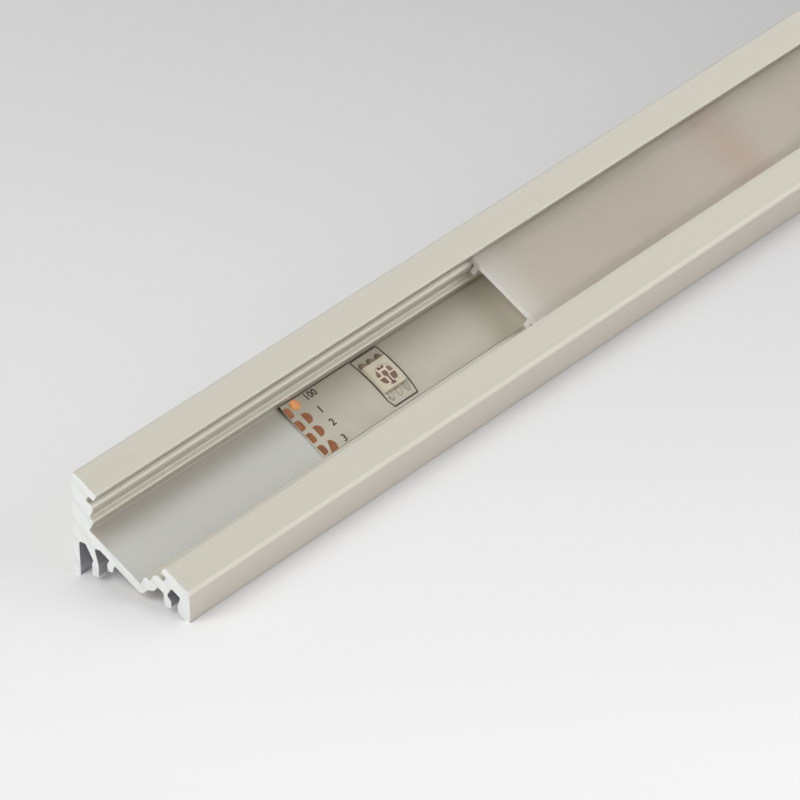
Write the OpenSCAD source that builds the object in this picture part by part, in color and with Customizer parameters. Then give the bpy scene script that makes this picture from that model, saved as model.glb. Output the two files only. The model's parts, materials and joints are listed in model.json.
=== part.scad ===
// Corner profile for a light strip: an aluminium extrusion whose light face slopes,
// with a tape of light packages on its seat and a frosted cover slid part of the way along.
// The length runs along X. The back face looks toward +Y and the front face toward -Y.
// The origin is on the floor, under the middle of the part.

/* [Profile] */
// Length of the aluminium profile
profile_len = 1000; // [950:5:2000]
// Width of the profile, from its back face to its front face
profile_w = 21; // [20.5:0.1:22]
// Height of the front face, from the floor to the light face
front_h = 4.7; // [4.5:0.1:5.5]
// Slope of the light face above the floor, in degrees
face_angle = 30; // [29:0.5:32]
// Thickness of the back leg
leg_t = 0.95; // [0.8:0.05:1.2]
// Width of the flat foot under the front face
foot_w = 0.85; // [0.6:0.05:1.1]
// Rounding of the long edge where the light face meets the front face
bevel_r = 1; // [0.4:0.1:1.4]
// Rounding of the long top edge
apex_r = 0.35; // [0.2:0.05:0.5]

/* [Channel] */
// Clear opening between the two lips
opening_w = 13.9; // [13.2:0.1:14.4]
// Thickness of each lip above its groove
lip_t = 1.1; // [0.9:0.05:1.25]
// Width across the two cover grooves
groove_w = 16; // [15.4:0.1:16.4]
// Height of the cover grooves
groove_h = 1; // [0.9:0.05:1.1]
// Width of the channel between the grooves and the shelves
shelf_w = 12.5; // [12:0.1:13]
// Depth of the shelves under the light face
shelf_d = 4.2; // [4:0.05:4.5]
// Width of the seat for the tape
seat_w = 10.55; // [10.3:0.05:11]
// Depth of the seat under the light face
seat_d = 6.1; // [5.9:0.05:6.3]
// Thickness of the plate under the seat
plate_t = 1.3; // [1.1:0.05:1.4]
// Thickness of the lower wall of the channel
wall_t = 1.3; // [1.1:0.05:1.45]

/* [Underside] */
// Height of the top of the slot beside the back leg
back_slot_top = 5.6; // [5:0.1:6]
// Distance of the fin's foot from the back face
fin_y = 3.15; // [2.9:0.05:3.3]
// Thickness of the fin's foot
fin_t = 1.2; // [1:0.05:1.3]
// Height of the fin's end above the floor
fin_end = 0.88; // [0.5:0.05:1.2]
// Height of the top of the clip slot
clip_slot_top = 5.5; // [5:0.1:5.6]
// Distance of the stub from the back face
stub_y = 6.05; // [5.9:0.05:6.3]
// Thickness of the stub
stub_t = 0.9; // [0.8:0.05:1.1]
// Height of the stub's end above the floor
stub_end = 2.7; // [2.4:0.05:3]
// Distance of the hook's back side from the front face
hook_in = 4.67; // [4.5:0.01:4.75]
// Width of the round end of the hook
hook_w = 1.3; // [1.2:0.05:1.4]
// Height of the hook's end above the floor
hook_end = 0.95; // [0.7:0.05:1.2]

/* [Tape] */
// Width of the flexible tape
tape_w = 10; // [8:0.1:10.2]
// Thickness of the tape with its glue
tape_t = 0.35; // [0.2:0.05:0.5]
// Distance of the tape's cut end from the profile's near end
tape_start = 41; // [20:0.1:80]
// Distance between two cutting places, with three packages on each stretch
cut_pitch = 100; // [90:1:100]
// Number of stretches between cutting places
stretches = 9; // [1:1:9]
// Distance of the first package from the cut end
first_package = 18.7; // [15:0.1:22]

/* [Light package] */
// Side of the square package
package_w = 5; // [4:0.1:5.4]
// Height of the package above the tape
package_h = 0.9; // [0.7:0.05:1.8]
// Distance of the packages from the tape's middle, toward the back face
package_off = 0.3; // [0:0.05:0.5]

/* [Cover] */
// Distance of the cover's near end from the profile's near end
cover_start = 85; // [0:1:300]
// Clearance of the cover in its grooves, on each side
cover_gap = 0.1; // [0.05:0.01:0.2]
// Thickness of the cover's two inner ribs
rib_t = 0.9; // [0.6:0.05:1.2]
// Depth of the ribs' ends under the light face
rib_end = 3.7; // [3:0.1:4]

/* [Hidden] */

// Packages on each stretch of tape
packages_per_stretch = 3;
// Flat steps in each rounded corner
arc_steps = 4;
// Free space between the tape's upper edge and the wall of the seat
tape_gap = 0.05;
// Corner radii of the section: fine edges, small fillets and the larger ones
fine_r = 0.15;
small_r = 0.3;
wide_r = 0.5;
// Rounding of the channel's wall under each groove, and of the plate's low corner
throat_r = 0.9;
low_corner_r = 1.2;
// Centring mark along the back face: height, half width and depth
mark_z = 11;
mark_half_w = 0.3;
mark_depth = 0.3;

slope_sin = sin(face_angle);
slope_cos = cos(face_angle);
profile_h = front_h + profile_w * tan(face_angle);
face_len = profile_w / slope_cos;
near_x = -profile_len / 2;
// Depths under the light face: floors of the grooves, underside of the plate,
// root of the hook and roof of the hollow behind the front face
groove_floor_d = lip_t + groove_h;
plate_under_d = seat_d + plate_t;
hook_root_d = 3.8;
hollow_roof_d = 1.9;

// Section points are [y, z, corner radius] in the part's own frame.
// from_back and from_front count their distance inward from that face.
function from_back(y, z, r = 0) = [profile_w / 2 - y, z, r];
function from_front(y, z, r = 0) = [y - profile_w / 2, z, r];

// A point s along the light face from its middle, toward the front, and d under it
function under_face(s, d, r = 0) = let (u = face_len / 2 + s)
    from_back(u * slope_cos - d * slope_sin, profile_h - u * slope_sin - d * slope_cos, r);

// Height of the line that runs d under the light face, at a distance y from the back face
function depth_line_z(y, d) = profile_h - y * tan(face_angle) - d / slope_cos;

function flat(p) = [p[0], p[1]];
function unit(v) = v / norm(v);

// Arc in the corner b between the edges to a and to c, or the corner itself where its radius is 0
function corner_arc(a, b, c) =
    b[2] == 0 ? [flat(b)] :
    let (
        to_a = unit(flat(a) - flat(b)),
        to_c = unit(flat(c) - flat(b)),
        half = acos(to_a * to_c) / 2,
        reach = b[2] / tan(half),
        centre = flat(b) + unit(to_a + to_c) * b[2] / sin(half),
        start = flat(b) + to_a * reach - centre,
        end = flat(b) + to_c * reach - centre,
        start_angle = atan2(start[1], start[0]),
        sweep = (atan2(end[1], end[0]) - start_angle + 540) % 360 - 180
    )
    [for (i = [0:arc_steps])
        let (angle = start_angle + sweep * i / arc_steps)
        centre + b[2] * [cos(angle), sin(angle)]];

// A closed outline with each of its corners rounded
function rounded(path) = let (n = len(path))
    [for (i = [0:n - 1]) each corner_arc(path[(i + n - 1) % n], path[i], path[(i + 1) % n])];

// Extrudes a section drawn in y and z along X
module along_x(start, length) {
    translate([start, 0, 0]) rotate([90, 0, 90]) linear_extrude(length) children();
}

// Outer outline, from the top edge down the back face, along the underside and up the front face
back_leg = [
    from_back(0, profile_h, apex_r),
    from_back(0, mark_z + mark_half_w),
    from_back(mark_depth, mark_z),
    from_back(0, mark_z - mark_half_w),
    from_back(0, 0, small_r),
    from_back(leg_t, 0, small_r),
    from_back(leg_t - 0.05, back_slot_top, small_r),
    from_back(2.1, back_slot_top, small_r),
];
fin = [
    from_back(fin_y + 0.3, 3.3, fine_r),
    from_back(fin_y, 2.75, fine_r),
    from_back(fin_y, fin_end, small_r),
    from_back(fin_y + fin_t, fin_end, small_r),
    from_back(fin_y + fin_t, 3, small_r),
    from_back(fin_y + 0.55, clip_slot_top, small_r),
];
stub_back = stub_y + 0.4;
stub_front = stub_y + stub_t + 0.35;
clip_slot_corner_y = (profile_h - clip_slot_top - plate_under_d / slope_cos) / tan(face_angle);
stub = [
    from_back(clip_slot_corner_y, clip_slot_top, fine_r),
    from_back(stub_back, depth_line_z(stub_back, plate_under_d), fine_r),
    from_back(stub_y - 0.05, 3.75, fine_r),
    from_back(stub_y, stub_end, small_r),
    from_back(stub_y + stub_t, stub_end, small_r),
    from_back(stub_front, depth_line_z(stub_front, plate_under_d), small_r),
];
low_wall_s = seat_w / 2 + wall_t;
high_wall_s = shelf_w / 2 + wall_t;
plate = [
    under_face(low_wall_s, plate_under_d, low_corner_r),
    under_face(low_wall_s, seat_d - 0.2, wide_r),
    under_face(high_wall_s, shelf_d + 0.7, wide_r),
    under_face(high_wall_s + 0.1, hook_root_d, small_r),
];
hook_tip_in = hook_in - hook_w;
hook = [
    from_front(hook_in, depth_line_z(profile_w - hook_in, hook_root_d), small_r),
    from_front(hook_in, hook_end, 0.6),
    from_front(hook_tip_in, hook_end, 0.5),
    from_front(hook_tip_in, hook_end + hook_w, 0.25),
    from_front(hook_tip_in + 0.5, hook_end + hook_w + 0.4, small_r),
    under_face(groove_w / 2 + 1.45, hook_root_d - 0.45, small_r),
];
front_foot = [
    under_face(groove_w / 2 + 1.45, hollow_roof_d, small_r),
    from_front(1.65, depth_line_z(profile_w - 1.65, hollow_roof_d), small_r),
    from_front(2.24, 1.75, small_r),
    from_front(2.1, 1.1, small_r),
    from_front(foot_w, 0, fine_r),
    from_front(0, 0, fine_r),
    from_front(0, front_h, bevel_r),
];

// One wall of the channel, from its lip down to the seat
function channel_wall(side) = [
    under_face(side * opening_w / 2, 0, small_r),
    under_face(side * opening_w / 2, lip_t, small_r),
    under_face(side * groove_w / 2, lip_t, fine_r),
    under_face(side * groove_w / 2, groove_floor_d, fine_r),
    under_face(side * shelf_w / 2, groove_floor_d, throat_r),
    under_face(side * shelf_w / 2, shelf_d, fine_r),
    under_face(side * seat_w / 2, shelf_d, small_r),
    under_face(side * seat_w / 2, seat_d, fine_r),
];

function reversed(path) = [for (i = [len(path) - 1:-1:0]) path[i]];

// The outline closes along the light face, through the channel between its two lips
channel = concat(channel_wall(1), reversed(channel_wall(-1)));

module profile_section() {
    polygon(rounded(concat(back_leg, fin, stub, plate, hook, front_foot, channel)));
}

module profile() {
    color([0.80, 0.79, 0.74]) along_x(near_x, profile_len) profile_section();
}

// The tape lies against the upper wall of the seat
tape_s = -seat_w / 2 + tape_gap + tape_w / 2;
tape_len = stretches * cut_pitch;

module led_tape() {
    color([0.75, 0.72, 0.66]) along_x(near_x + tape_start, tape_len)
        polygon([
            flat(under_face(tape_s - tape_w / 2, seat_d)),
            flat(under_face(tape_s + tape_w / 2, seat_d)),
            flat(under_face(tape_s + tape_w / 2, seat_d - tape_t)),
            flat(under_face(tape_s - tape_w / 2, seat_d - tape_t)),
        ]);
}

package_pitch = cut_pitch / packages_per_stretch;

module led_package(x) {
    foot_d = seat_d - tape_t;
    top_d = foot_d - package_h;
    back_s = tape_s - package_off - package_w / 2;
    front_s = back_s + package_w;
    along_x(x - package_w / 2, package_w)
        polygon([
            flat(under_face(back_s, foot_d)),
            flat(under_face(front_s, foot_d)),
            flat(under_face(front_s, top_d)),
            flat(under_face(back_s, top_d)),
        ]);
}

module led_packages() {
    color([0.85, 0.82, 0.72])
        for (i = [0:stretches * packages_per_stretch - 1])
            led_package(near_x + tape_start + first_package + i * package_pitch);
}

// The plate of the cover rests on the floors of the grooves, and its ribs hang inside the channel
plate_half = groove_w / 2 - cover_gap;
plate_top_d = lip_t + cover_gap;
rib_half = shelf_w / 2 - cover_gap;

function cover_side(side) = [
    under_face(side * plate_half, plate_top_d, fine_r),
    under_face(side * plate_half, groove_floor_d, fine_r),
    under_face(side * rib_half, groove_floor_d),
    under_face(side * rib_half, rib_end, small_r),
    under_face(side * (rib_half - rib_t), rib_end, small_r),
    under_face(side * (rib_half - rib_t), groove_floor_d),
];

module diffuser_cover() {
    color([0.85, 0.84, 0.82]) along_x(near_x + cover_start, profile_len - cover_start)
        polygon(rounded(concat(cover_side(-1), reversed(cover_side(1)))));
}

profile();
led_tape();
led_packages();
diffuser_cover();
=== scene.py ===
import json
from math import cos, radians, sin

import bmesh
import bpy
from bpy.props import FloatProperty, FloatVectorProperty, IntProperty, PointerProperty
from mathutils import Matrix, Vector

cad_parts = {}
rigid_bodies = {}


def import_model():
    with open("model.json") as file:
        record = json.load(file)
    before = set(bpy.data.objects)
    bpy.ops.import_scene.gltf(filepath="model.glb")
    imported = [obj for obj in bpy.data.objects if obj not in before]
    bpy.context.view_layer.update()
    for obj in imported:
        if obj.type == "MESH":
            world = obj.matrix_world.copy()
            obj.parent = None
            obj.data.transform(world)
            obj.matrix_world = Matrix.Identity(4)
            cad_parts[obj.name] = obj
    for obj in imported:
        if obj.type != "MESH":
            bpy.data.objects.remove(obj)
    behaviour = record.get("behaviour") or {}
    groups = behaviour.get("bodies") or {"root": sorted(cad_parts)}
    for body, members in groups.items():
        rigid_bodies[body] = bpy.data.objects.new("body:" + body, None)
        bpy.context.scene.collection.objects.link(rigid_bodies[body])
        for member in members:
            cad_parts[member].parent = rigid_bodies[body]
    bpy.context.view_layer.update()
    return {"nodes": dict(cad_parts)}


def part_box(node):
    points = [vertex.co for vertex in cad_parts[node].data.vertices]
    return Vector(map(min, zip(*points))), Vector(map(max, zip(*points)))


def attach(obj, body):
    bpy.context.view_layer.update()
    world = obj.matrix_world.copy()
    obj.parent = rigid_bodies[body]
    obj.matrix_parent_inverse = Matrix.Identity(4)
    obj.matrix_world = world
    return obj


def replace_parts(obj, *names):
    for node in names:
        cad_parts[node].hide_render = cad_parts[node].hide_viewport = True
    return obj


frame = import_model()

bl_info = {
    "name": "Corner light profile",
    "version": (1, 0, 0),
    "blender": (4, 5, 0),
    "location": "View3D > Sidebar > Profile",
    "description": "An aluminium corner profile with a light tape on its seat and a frosted cover",
    "category": "Object",
}

# Lengths in this script are metres, and MM turns millimetres into them
MM = 0.001
BODY = "root"

# The tape's flat layout runs along x from its cut end, y counts from its middle toward the
# back wall, and z counts from the top of the solid tape, square to the seat
SEAT_SLOPE = radians(30)
TAPE_LOW, TAPE_HIGH = (Vector(corner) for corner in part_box("led_tape"))
TAPE_SPAN = TAPE_HIGH - TAPE_LOW
TAPE_WIDTH = (TAPE_SPAN.y * cos(SEAT_SLOPE) - TAPE_SPAN.z * sin(SEAT_SLOPE)) / cos(2 * SEAT_SLOPE)
TAPE_THICKNESS = (TAPE_SPAN.z * cos(SEAT_SLOPE) - TAPE_SPAN.y * sin(SEAT_SLOPE)) / cos(2 * SEAT_SLOPE)
TAPE_LENGTH = TAPE_SPAN.x
PACKAGES_LOW, PACKAGES_HIGH = (Vector(corner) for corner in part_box("led_packages"))
PROFILE_LOW, PROFILE_HIGH = (Vector(corner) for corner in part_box("profile"))
COVER_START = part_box("diffuser_cover")[0][0]

# Place of the line where the seat meets the back wall, across the seat and square to it
SEAT_CORNER = (0.01056, 0.00305)

# Where the skin's painted light and shade lie: heights over the seat between which the painted
# light on the seat comes and goes, its end past the corner, the range of the painted shade before
# the corner, and the range of the painted reflection on the front
SEAT_LIGHT = (-0.0003, -0.0001, 0.0001, 0.0004)
SEAT_END = 0.001
CORNER_SHADE = (-0.0052, -0.0008)
FRONT_REFLECTION = (0.00002, 0.00015)

# Hollows underneath, which take a painted shade: their depth below the seat's face, the walls
# before and behind them, and the top and the inner end of the hollow at the front foot
HOLLOW_DEPTH = 0.0015
HOLLOW_WALL = 0.0006
FOOT_TOP = 0.0042
FOOT_END = -0.0052

# Where the painted shade on the film deepens before the seat's corner, and where the painted
# light at the cover's paler end fades
FILM_SHADE = (-0.0085, -0.001)
END_LIGHT_FADE = (0.0, 0.008)

# A point this close to a face's plane lies on the face
ON_FACE = 0.00001

# Shares of metal in the anodised skin and in the sawn ends
SKIN_METAL = 0.92
SAWN_METAL = 0.6

# Share of light that the cover's plastic lets through, and its index of refraction
COVER_CLEAR = 0.72
COVER_IOR = 1.49

# Patterns of the metal, as scales of their noise: die lines stretched along x, the skin's grain,
# rings of the saw's blade, their wobble, torn grain, and the ragged edge beside a sawn end
DIE_STRETCH = (3, 2200, 2200)
SKIN_GRAIN = 5200
SAW_RINGS = 2600.0
SAW_WOBBLE = 420
SAW_GRAIN = 1900
RAGGED_EDGE = 1600

# Ranges of a noise: nearly all of it, its soft spots, and spots that cover a little less
GRAIN = (0.2, 0.8)
SPOTS = (0.3, 0.7)
FEWER_SPOTS = (0.35, 0.7)


def rgb(name, description, default):
    """A colour setting with its red, green and blue parts."""
    return FloatVectorProperty(
        name=name, description=description, default=default, subtype="COLOR", size=3, min=0, max=1
    )


def length(name, description, default_mm, low_mm=0):
    """A length setting, given in millimetres and kept in metres."""
    return FloatProperty(
        name=name, description=description, default=default_mm * MM, min=low_mm * MM, unit="LENGTH",
        precision=5,
    )


def share(name, description, default):
    """A setting between nought and one."""
    return FloatProperty(name=name, description=description, default=default, min=0, max=1)


def power(name, description, default):
    """The power of a lamp."""
    return FloatProperty(name=name, description=description, default=default, min=0, unit="POWER")


def angle(name, description, default):
    """An angle setting, given in degrees."""
    return FloatProperty(name=name, description=description, default=radians(default), subtype="ANGLE")


class ProfileFinish(bpy.types.PropertyGroup):
    """Finish of the aluminium profile, with the colours of its painted light and shade."""

    anodised: rgb("Anodised skin", "Colour of the satin anodised faces", (0.62, 0.60, 0.53))
    anodised_deep: rgb("Die lines", "Colour of the skin along its die lines", (0.60, 0.58, 0.51))
    # Painted reflection: the front face takes this paler, rosier colour
    painted_front_reflection: rgb("Front", "Colour of the skin on the front face", (0.665, 0.62, 0.56))
    # Painted shade: the hollows underneath take this darker, purplish colour
    painted_hollow_shade: rgb("Hollows", "Colour of the skin in the hollows underneath", (0.57, 0.56, 0.60))
    # Painted light: the open seat takes this cooler colour
    painted_seat_light: rgb("Seat", "Colour of the skin on the open seat", (0.582, 0.588, 0.56))
    # Painted shade: the skin darkens where seat and wall meet
    painted_corner_shade: rgb("Corner", "Colour of the skin where seat and wall meet", (0.405, 0.38, 0.33))
    sawn: rgb("Sawn metal", "Colour of the bare metal on the sawn ends", (0.72, 0.73, 0.715))
    sawn_deep: rgb("Saw marks", "Colour of the bare metal in the saw's marks", (0.67, 0.68, 0.665))
    roughness: share("Roughness", "Roughness of the anodised faces", 0.61)
    burr: length("Bright edge", "Width of the chipped skin along each sawn edge", 0.12)


class TapeSettings(bpy.types.PropertyGroup):
    """Sizes and colours of the flexible tape and of what is printed and plated on it."""

    film: length("Film", "Thickness of the printed film", 0.2)
    rise: length("Rise", "Height by which the loose film arches between its edges", 0.5)
    settle: length("Settle", "Distance from the cut end over which the arch dies away", 9)
    curl: length("Curl", "Height by which the upper corner of the cut end stands off the seat", 0.35)
    cut_pitch: length("Cut pitch", "Distance between two cutting places", 100)
    copper_height: length("Copper height", "Height of the copper over the film", 0.04)
    ink_height: length("Ink height", "Height of the print over the film", 0.02)
    line: length("Printed line", "Width of the printed lines", 0.24)
    corner: length("Line corner", "Rounding of the upper corners of the printed outlines", 0.45)
    edge_line: length("Edge line", "Width of the line printed along the upper edge", 0.12)
    figure_height: length("Figures", "Height of the printed figures", 1.2)
    film_colour: rgb("Film", "Colour of the lacquered film", (0.49, 0.46, 0.38))
    deep_colour: rgb("Deeper film", "Colour of the film under thicker lacquer", (0.46, 0.43, 0.35))
    # Painted shade: the film takes this darker colour by the back wall
    painted_wall_shade: rgb("Film by the wall", "Colour of the film by the back wall", (0.365, 0.335, 0.265))
    copper: rgb("Copper", "Colour of the bare pads", (0.33, 0.13, 0.065))
    # Painted reflection: one round pad beside each cut takes this much brighter copper
    painted_glint_copper: rgb("Bright copper", "Colour of the freshest pad", (0.80, 0.36, 0.15))
    ink: rgb("Ink", "Colour of the print", (0.028, 0.018, 0.012))


class PackageSettings(bpy.types.PropertyGroup):
    """Sizes and colours of the light packages."""

    count: IntProperty(name="Packages", description="Number of light packages", default=27, min=1)
    side: length("Side", "Side of the square body", 5)
    height: length("Height", "Height of the body over the film", 0.66)
    offset: length("Offset", "Distance of the bodies from the middle of the tape", 0.3)
    window: length("Window", "Diameter of the round window at its rim", 3.9)
    window_floor: length("Window floor", "Diameter of the window at its floor", 3.5)
    window_depth: length("Window depth", "Depth of the window", 0.22)
    window_shift: FloatVectorProperty(
        name="Window place", description="Place of the window's middle against the middle of the body",
        default=(0.19 * MM, -0.25 * MM, 0), subtype="TRANSLATION", unit="LENGTH", precision=5,
    )
    lead_pitch: length("Lead pitch", "Distance between the leads along the tape", 1.8)
    joint_width: length("Joint width", "Width of each lower solder joint", 1.35)
    joint_reach: length("Joint reach", "Reach of each lower solder joint out of the body", 1.5)
    upper_width: length("Upper joint width", "Width of each upper solder joint", 1.65)
    upper_reach: length("Upper joint reach", "Reach of each upper solder joint out of the body", 1.0)
    body_colour: rgb("Body colour", "Colour of the moulded body", (0.56, 0.51, 0.385))
    floor_colour: rgb("Window colour", "Colour of the window's floor", (0.68, 0.53, 0.41))
    frame_colour: rgb("Frame colour", "Colour of the plates in the window", (0.17, 0.10, 0.06))
    solder: rgb("Solder", "Colour of the solder", (0.50, 0.46, 0.38))
    # Painted shade: the upper joints, by the back wall, take this darker, browner solder
    shade: rgb("Solder under flux", "Colour of the solder under its brown flux", (0.25, 0.18, 0.12))


class CoverFinish(bpy.types.PropertyGroup):
    """Finish of the frosted cover, with the colours of its painted light."""

    frosted: rgb("Frosted plastic", "Colour of the frosted plastic", (0.85, 0.795, 0.70))
    frosted_deep: rgb("Denser plastic", "Colour of its denser parts", (0.82, 0.76, 0.665))
    # Painted light: the plastic takes this paler colour beside its near end
    painted_end_light: rgb("Near end", "Colour of the plastic beside its near end", (0.93, 0.91, 0.86))
    # Painted glow: the pads show reddish through the plastic near each cut
    painted_pad_glow: rgb("Over the pads", "Colour where the pads shine through", (0.83, 0.71, 0.615))
    glow: length("Glow", "Distance from a cutting place over which the pads shine through", 8)
    sawn: rgb("Sawn plastic", "Colour of the sawn near end", (0.97, 0.96, 0.93))


class StageSettings(bpy.types.PropertyGroup):
    """Floor, light and camera."""

    # Painted light: the floor is brightest at the near right and deeper toward the back and beyond
    near_left: rgb("Near left", "Floor at the near left of the view", (0.695, 0.695, 0.695))
    near_right: rgb("Near right", "Floor at the near right of the view", (0.744, 0.744, 0.744))
    far_left: rgb("Far left", "Floor at the far left of the view", (0.518, 0.518, 0.518))
    far_right: rgb("Far right", "Floor at the far right of the view", (0.471, 0.471, 0.471))
    beyond: rgb("Floor beyond", "Floor away from the near end", (0.42, 0.42, 0.42))
    floor_size: length("Floor size", "Diameter of the round floor", 3200)
    world_strength: share("World", "Strength of the world", 0.141)
    backdrop: share("Backdrop", "Strength at which the camera alone sees the world", 0.8)
    far_power: power("Far lamp", "Power of the lamp high beyond the part", 25.1)
    front_power: power("Front lamp", "Power of the lamp before the part", 44.7)
    left_power: power("Left lamp", "Power of the lamp to the left of the part", 69.5)
    camera_place: FloatVectorProperty(
        name="Camera", description="Place of the camera", default=(-1.03865, -0.48904, 0.47558),
        subtype="XYZ",
    )
    azimuth: angle("Azimuth", "Turn of the camera around the part", -50.727)
    elevation: angle("Elevation", "Height of the camera's view", 31.432)
    roll: angle("Roll", "Roll of the camera", -0.898)
    lens: FloatProperty(
        name="Lens", description="Focal length of the camera", default=280.9, min=1, unit="CAMERA"
    )


# Shared shader building blocks


def node_group(name, inputs, outputs):
    """An empty shader node group with its named inputs and outputs."""
    group = bpy.data.node_groups.new(name, "ShaderNodeTree")
    for label, kind, default in inputs:
        socket = group.interface.new_socket(label, in_out="INPUT", socket_type=kind)
        if default is not None:
            socket.default_value = default
    for label, kind in outputs:
        group.interface.new_socket(label, in_out="OUTPUT", socket_type=kind)
    start = group.nodes.new("NodeGroupInput")
    end = group.nodes.new("NodeGroupOutput")
    return group, start, end


def feed(tree, value, socket):
    """Links a socket to another, or sets it to a number or a colour."""
    if isinstance(value, bpy.types.NodeSocket):
        tree.links.new(value, socket)
    else:
        socket.default_value = value


def add_math(tree, operation, first, second=None, clamp=False):
    """A Math node whose inputs are sockets or numbers."""
    node = tree.nodes.new("ShaderNodeMath")
    node.operation = operation
    node.use_clamp = clamp
    for slot, value in enumerate((first, second)):
        if value is not None:
            feed(tree, value, node.inputs[slot])
    return node.outputs[0]


def add_all(tree, first, *others):
    """The product of masks, which is one where all of them are."""
    for other in others:
        first = add_math(tree, "MULTIPLY", first, other)
    return first


def add_blend(tree, mask, first, second):
    """A value that goes from one to another with a mask."""
    gap = add_math(tree, "SUBTRACT", second, first)
    return add_math(tree, "ADD", first, add_math(tree, "MULTIPLY", gap, mask))


def add_noise(tree, vector, scale, detail=2.0, roughness=0.5):
    """The value of a Noise Texture on a vector."""
    node = tree.nodes.new("ShaderNodeTexNoise")
    tree.links.new(vector, node.inputs["Vector"])
    feed(tree, scale, node.inputs["Scale"])
    node.inputs["Detail"].default_value = detail
    node.inputs["Roughness"].default_value = roughness
    return node.outputs["Fac"]


def add_mapping(tree, vector, scale=(1, 1, 1), rotation=(0, 0, 0)):
    """A vector turned and stretched."""
    node = tree.nodes.new("ShaderNodeMapping")
    tree.links.new(vector, node.inputs["Vector"])
    node.inputs["Scale"].default_value = scale
    node.inputs["Rotation"].default_value = rotation
    return node.outputs["Vector"]


def add_split(tree, vector):
    """The x, y and z of a vector."""
    node = tree.nodes.new("ShaderNodeSeparateXYZ")
    tree.links.new(vector, node.inputs["Vector"])
    return node.outputs["X"], node.outputs["Y"], node.outputs["Z"]


def add_range(tree, value, low, high, to_low=0.0, to_high=1.0, smooth=True):
    """A value mapped from one range to another, with soft ends or straight."""
    node = tree.nodes.new("ShaderNodeMapRange")
    node.interpolation_type = "SMOOTHSTEP" if smooth else "LINEAR"
    tree.links.new(value, node.inputs["Value"])
    limits = (("From Min", low), ("From Max", high), ("To Min", to_low), ("To Max", to_high))
    for label, number in limits:
        node.inputs[label].default_value = number
    return node.outputs["Result"]


def add_step(tree, value, origin, limits, falling=False):
    """A mask that rises, or falls, between two limits that count from an origin."""
    low, high = (origin + limit for limit in limits)
    ends = (1.0, 0.0) if falling else (0.0, 1.0)
    return add_range(tree, value, low, high, *ends)


def add_mix(tree, factor, first, second):
    """A colour mixed from two by a mask. Each may be a socket or a colour."""
    node = tree.nodes.new("ShaderNodeMix")
    node.data_type = "RGBA"
    tree.links.new(factor, node.inputs["Factor"])
    for label, value in (("A", first), ("B", second)):
        socket = next(s for s in node.inputs if s.name == label and s.type == "RGBA")
        feed(tree, value if isinstance(value, bpy.types.NodeSocket) else (*value, 1), socket)
    return next(s for s in node.outputs if s.type == "RGBA")


def die_lines_group():
    """Fine lines that an extrusion die leaves along x, as a mask."""
    group, start, end = node_group(
        "Die lines",
        [("Vector", "NodeSocketVector", None), ("Fineness", "NodeSocketFloat", 1.0)],
        [("Lines", "NodeSocketFloat"), ("Grain", "NodeSocketFloat")],
    )
    stretched = add_mapping(group, start.outputs["Vector"], scale=DIE_STRETCH)
    lines = add_noise(group, stretched, start.outputs["Fineness"], detail=3)
    grain = add_noise(group, start.outputs["Vector"], SKIN_GRAIN, detail=1)
    group.links.new(lines, end.inputs["Lines"])
    group.links.new(grain, end.inputs["Grain"])
    return group


def saw_marks_group():
    """Bowed scratches of a round saw blade on an end face, with a fine torn grain."""
    group, start, end = node_group(
        "Saw marks",
        [("Vector", "NodeSocketVector", None), ("Blade centre", "NodeSocketVector", (0, 0.12, -0.10))],
        [("Marks", "NodeSocketFloat"), ("Grain", "NodeSocketFloat")],
    )
    offset = group.nodes.new("ShaderNodeVectorMath")
    offset.operation = "SUBTRACT"
    group.links.new(start.outputs["Vector"], offset.inputs[0])
    group.links.new(start.outputs["Blade centre"], offset.inputs[1])
    flat = add_mapping(group, offset.outputs["Vector"], scale=(0, 1, 1))
    reach = group.nodes.new("ShaderNodeVectorMath")
    reach.operation = "LENGTH"
    group.links.new(flat, reach.inputs[0])
    rings = add_math(group, "MULTIPLY", reach.outputs["Value"], SAW_RINGS)
    wobble = add_noise(group, start.outputs["Vector"], SAW_WOBBLE, detail=2)
    wobble = add_math(group, "MULTIPLY", wobble, 3.0)
    wave = add_math(group, "SINE", add_math(group, "ADD", rings, wobble))
    marks = add_range(group, wave, -0.4, 1.0)
    grain = add_noise(group, start.outputs["Vector"], SAW_GRAIN, detail=3, roughness=0.65)
    group.links.new(marks, end.inputs["Marks"])
    group.links.new(grain, end.inputs["Grain"])
    return group


def end_band_group():
    """Masks of the sawn end faces and of the narrow edge beside them, from the place along x."""
    group, start, end = node_group(
        "Sawn ends",
        [
            ("Vector", "NodeSocketVector", None),
            ("Half length", "NodeSocketFloat", 0.5),
            ("Edge", "NodeSocketFloat", 0.0001),
        ],
        [("Face", "NodeSocketFloat"), ("Edge", "NodeSocketFloat")],
    )
    along = add_math(group, "ABSOLUTE", add_split(group, start.outputs["Vector"])[0])
    inside = add_math(group, "SUBTRACT", start.outputs["Half length"], along)
    face = add_math(group, "LESS_THAN", inside, ON_FACE)
    ragged = add_noise(group, start.outputs["Vector"], RAGGED_EDGE, detail=2)
    depth = add_math(group, "DIVIDE", inside, start.outputs["Edge"])
    chipped = add_math(group, "SUBTRACT", add_math(group, "MULTIPLY", ragged, 2.0), depth)
    group.links.new(face, end.inputs["Face"])
    group.links.new(add_math(group, "MULTIPLY", chipped, 3.0, clamp=True), end.inputs["Edge"])
    return group


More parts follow.
